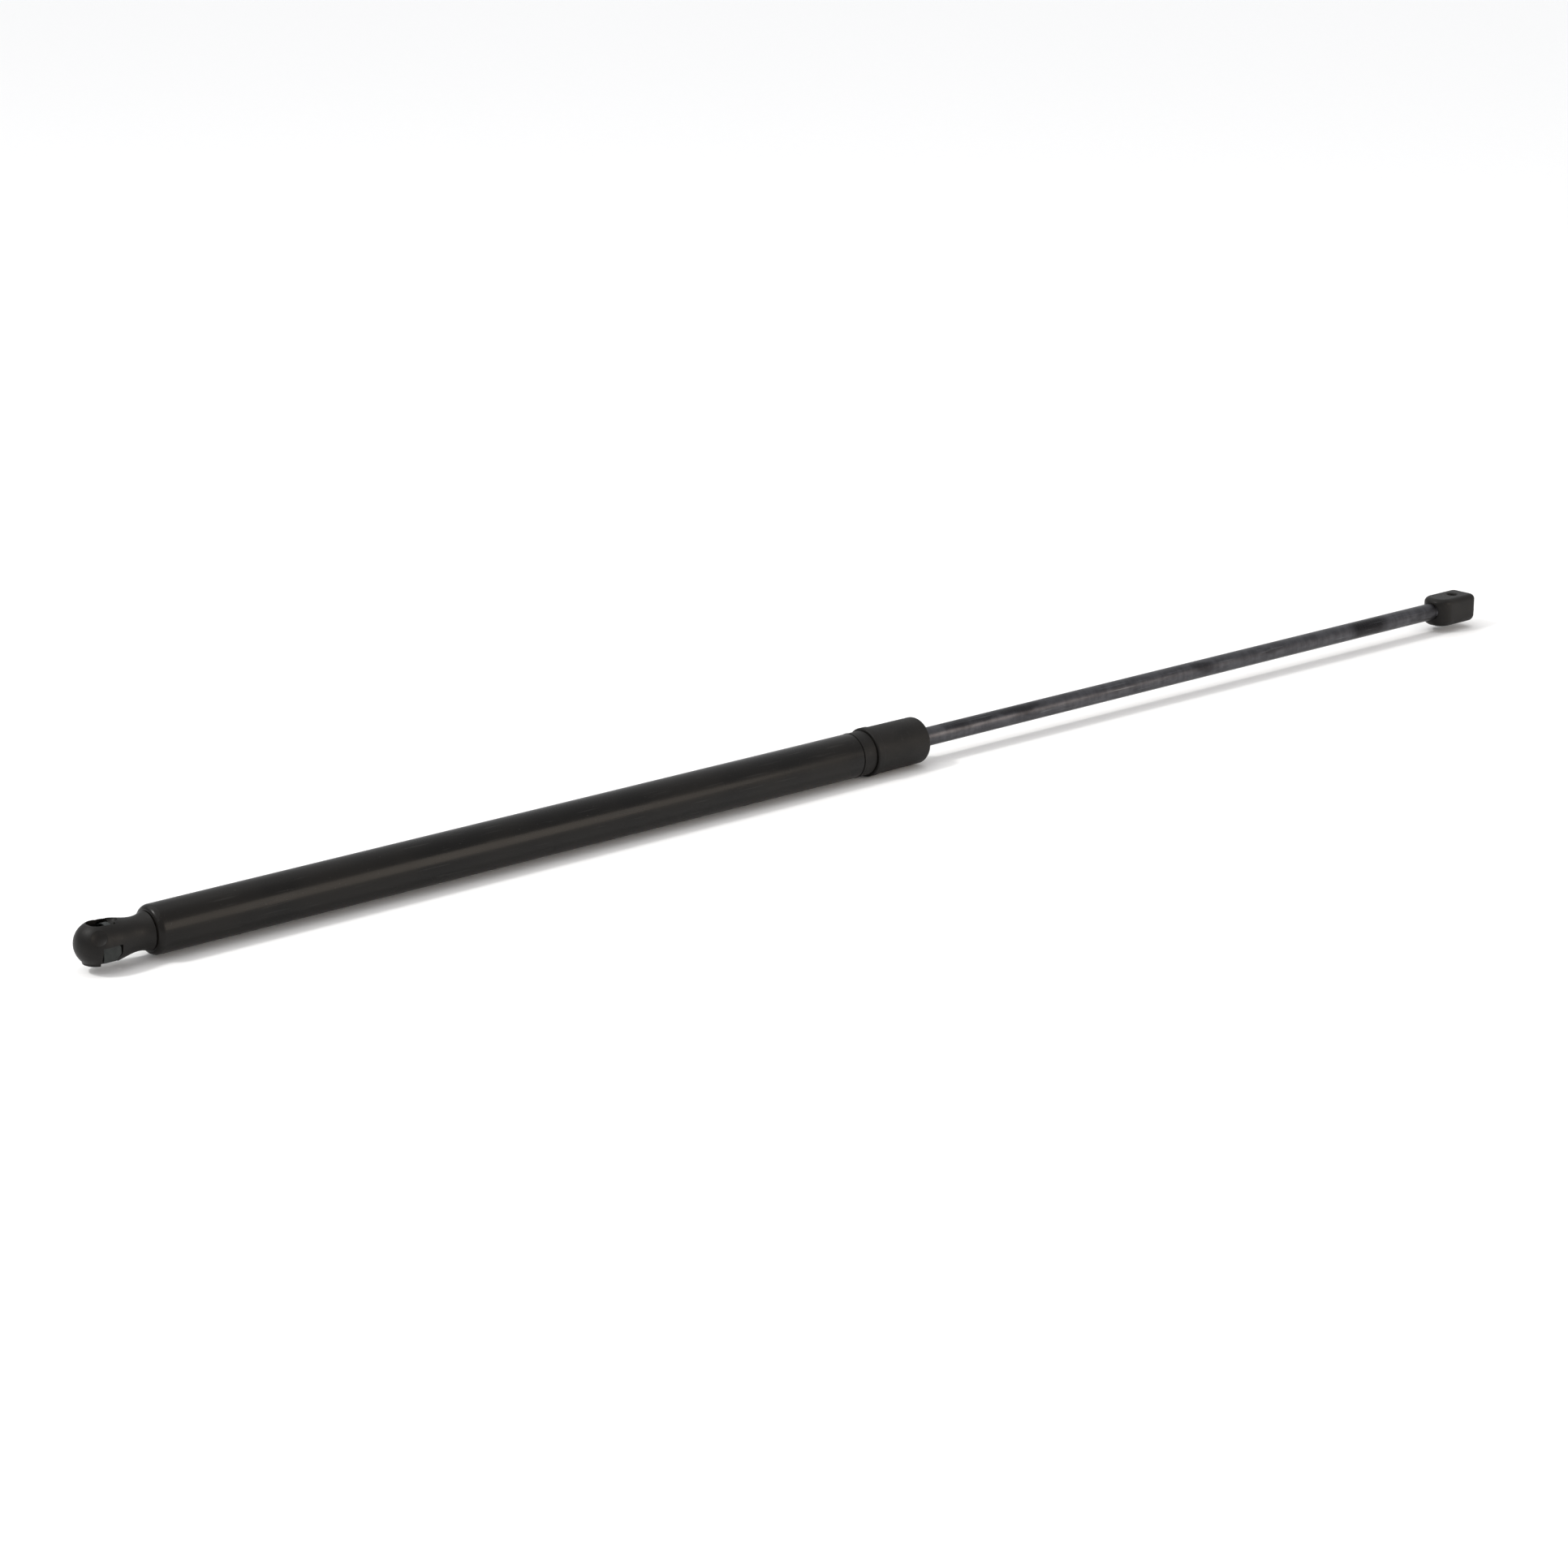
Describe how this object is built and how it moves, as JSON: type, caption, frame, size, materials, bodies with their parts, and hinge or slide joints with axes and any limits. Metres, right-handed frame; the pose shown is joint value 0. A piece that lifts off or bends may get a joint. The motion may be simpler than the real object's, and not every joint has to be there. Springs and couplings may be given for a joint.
{
  "type": "gas strut stay",
  "caption": "Slim gas strut stay: painted tube with a moulded end cap, a dark sliding rod, and a clip-on ball socket at each end for holding a window, shutter or lid open.",
  "frame": {"origin": "centre of the tube-side ball seat", "axes": "+X along the strut towards the rod end; +Z out of the backs of the ball sockets, whose mouths face -Z; rest pose is the strut fully extended"},
  "size_m": [0.7629, 0.0204, 0.0205],
  "materials": {
    "tube_paint": "satin black paint",
    "rod_surface": "dark nitrided steel, ground and polished",
    "socket_moulding": "fine-textured black glass-filled nylon",
    "cap_moulding": "matte black nylon",
    "spring_steel": "blackened spring steel",
    "plain_steel": "turned steel",
    "guide_alloy": "die-cast alloy",
    "bush_lining": "bronze with a dry lining",
    "ring_plastic": "filled fluoropolymer",
    "seal_rubber": "nitrile rubber"
  },
  "bodies": {
    "cylinder": {"pressure_tube": "tube_paint", "end_plug": "plain_steel", "end_plug_o_ring": "seal_rubber", "end_stud": "plain_steel", "tube_ball_socket": "socket_moulding", "buffer_ring": "seal_rubber", "stop_ring": "plain_steel", "spacer_sleeve": "plain_steel", "seal_retainer": "plain_steel", "rod_seal": "seal_rubber", "seal_support_washer": "plain_steel", "rod_guide": "guide_alloy", "guide_bush": "bush_lining", "cap_collar": "cap_moulding", "end_cap": "cap_moulding", "wiper_ring": "seal_rubber"},
    "piston_ring": {"piston_ring": "ring_plastic"},
    "rod": {"piston_rod": "rod_surface", "piston": "guide_alloy", "piston_washer": "plain_steel", "orifice_disc": "plain_steel", "rod_ball_socket": "socket_moulding"},
    "tube_clip": {"tube_clip": "spring_steel"},
    "rod_clip": {"rod_clip": "spring_steel"}
  },
  "joints": [
    {"name": "rod_slide", "type": "slide", "parent": "cylinder", "child": "piston_ring", "axis": [-1, 0, 0], "range_m": [0, 0.3], "stiffness_N_per_m": 8, "springref_m": -1},
    {"name": "rod_spin", "type": "hinge", "parent": "piston_ring", "child": "rod", "pos_m": [0.3434, 0, 0], "axis": [1, 0, 0], "continuous": true},
    {"name": "tube_clip_lift", "type": "slide", "parent": "cylinder", "child": "tube_clip", "axis": [0, 0, 1], "range_m": [0, 0.0008], "stiffness_N_per_m": 400, "springref_m": -0.002},
    {"name": "rod_clip_pull", "type": "slide", "parent": "rod", "child": "rod_clip", "axis": [1, 0, 0], "range_m": [0, 0.003], "stiffness_N_per_m": 300, "springref_m": -0.002}
  ]
}
